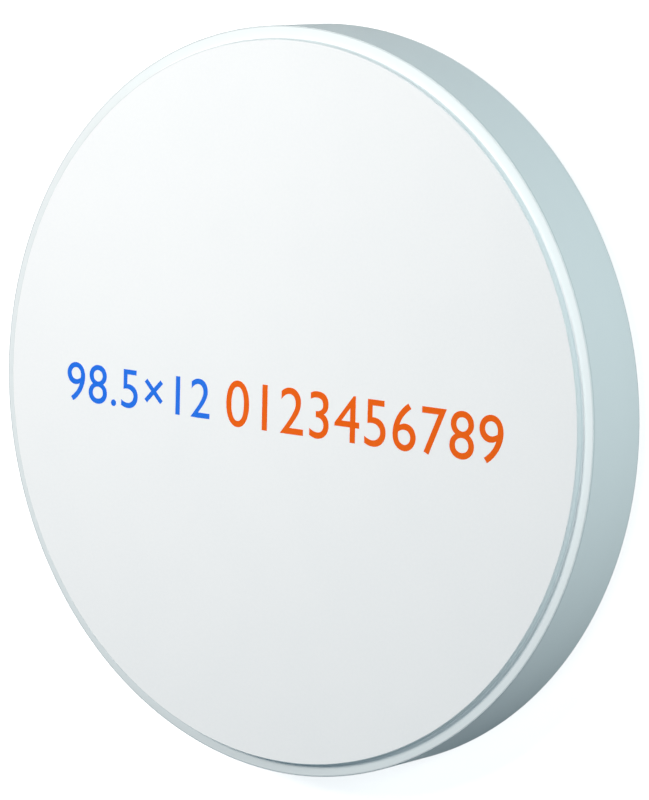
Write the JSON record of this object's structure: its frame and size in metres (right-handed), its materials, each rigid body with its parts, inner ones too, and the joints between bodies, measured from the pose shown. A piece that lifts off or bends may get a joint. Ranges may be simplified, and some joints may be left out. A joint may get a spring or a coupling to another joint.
{
  "type": "dental milling disc",
  "caption": "Round flat ceramic blank with a stepped collar round its edge, clamped in a dental mill and cut into crowns and bridges.",
  "frame": {"origin": "centre of the rear face, which the disc lies on", "axes": "+Z is the disc's axis, from the rear face towards the front face; X and Y are alike, because the disc is round"},
  "size_m": [0.0984, 0.0984, 0.012],
  "materials": {
    "zirconia": "matte, chalky pre-sintered ceramic"
  },
  "bodies": {
    "root": {"milling_disc": "zirconia"}
  },
  "joints": []
}
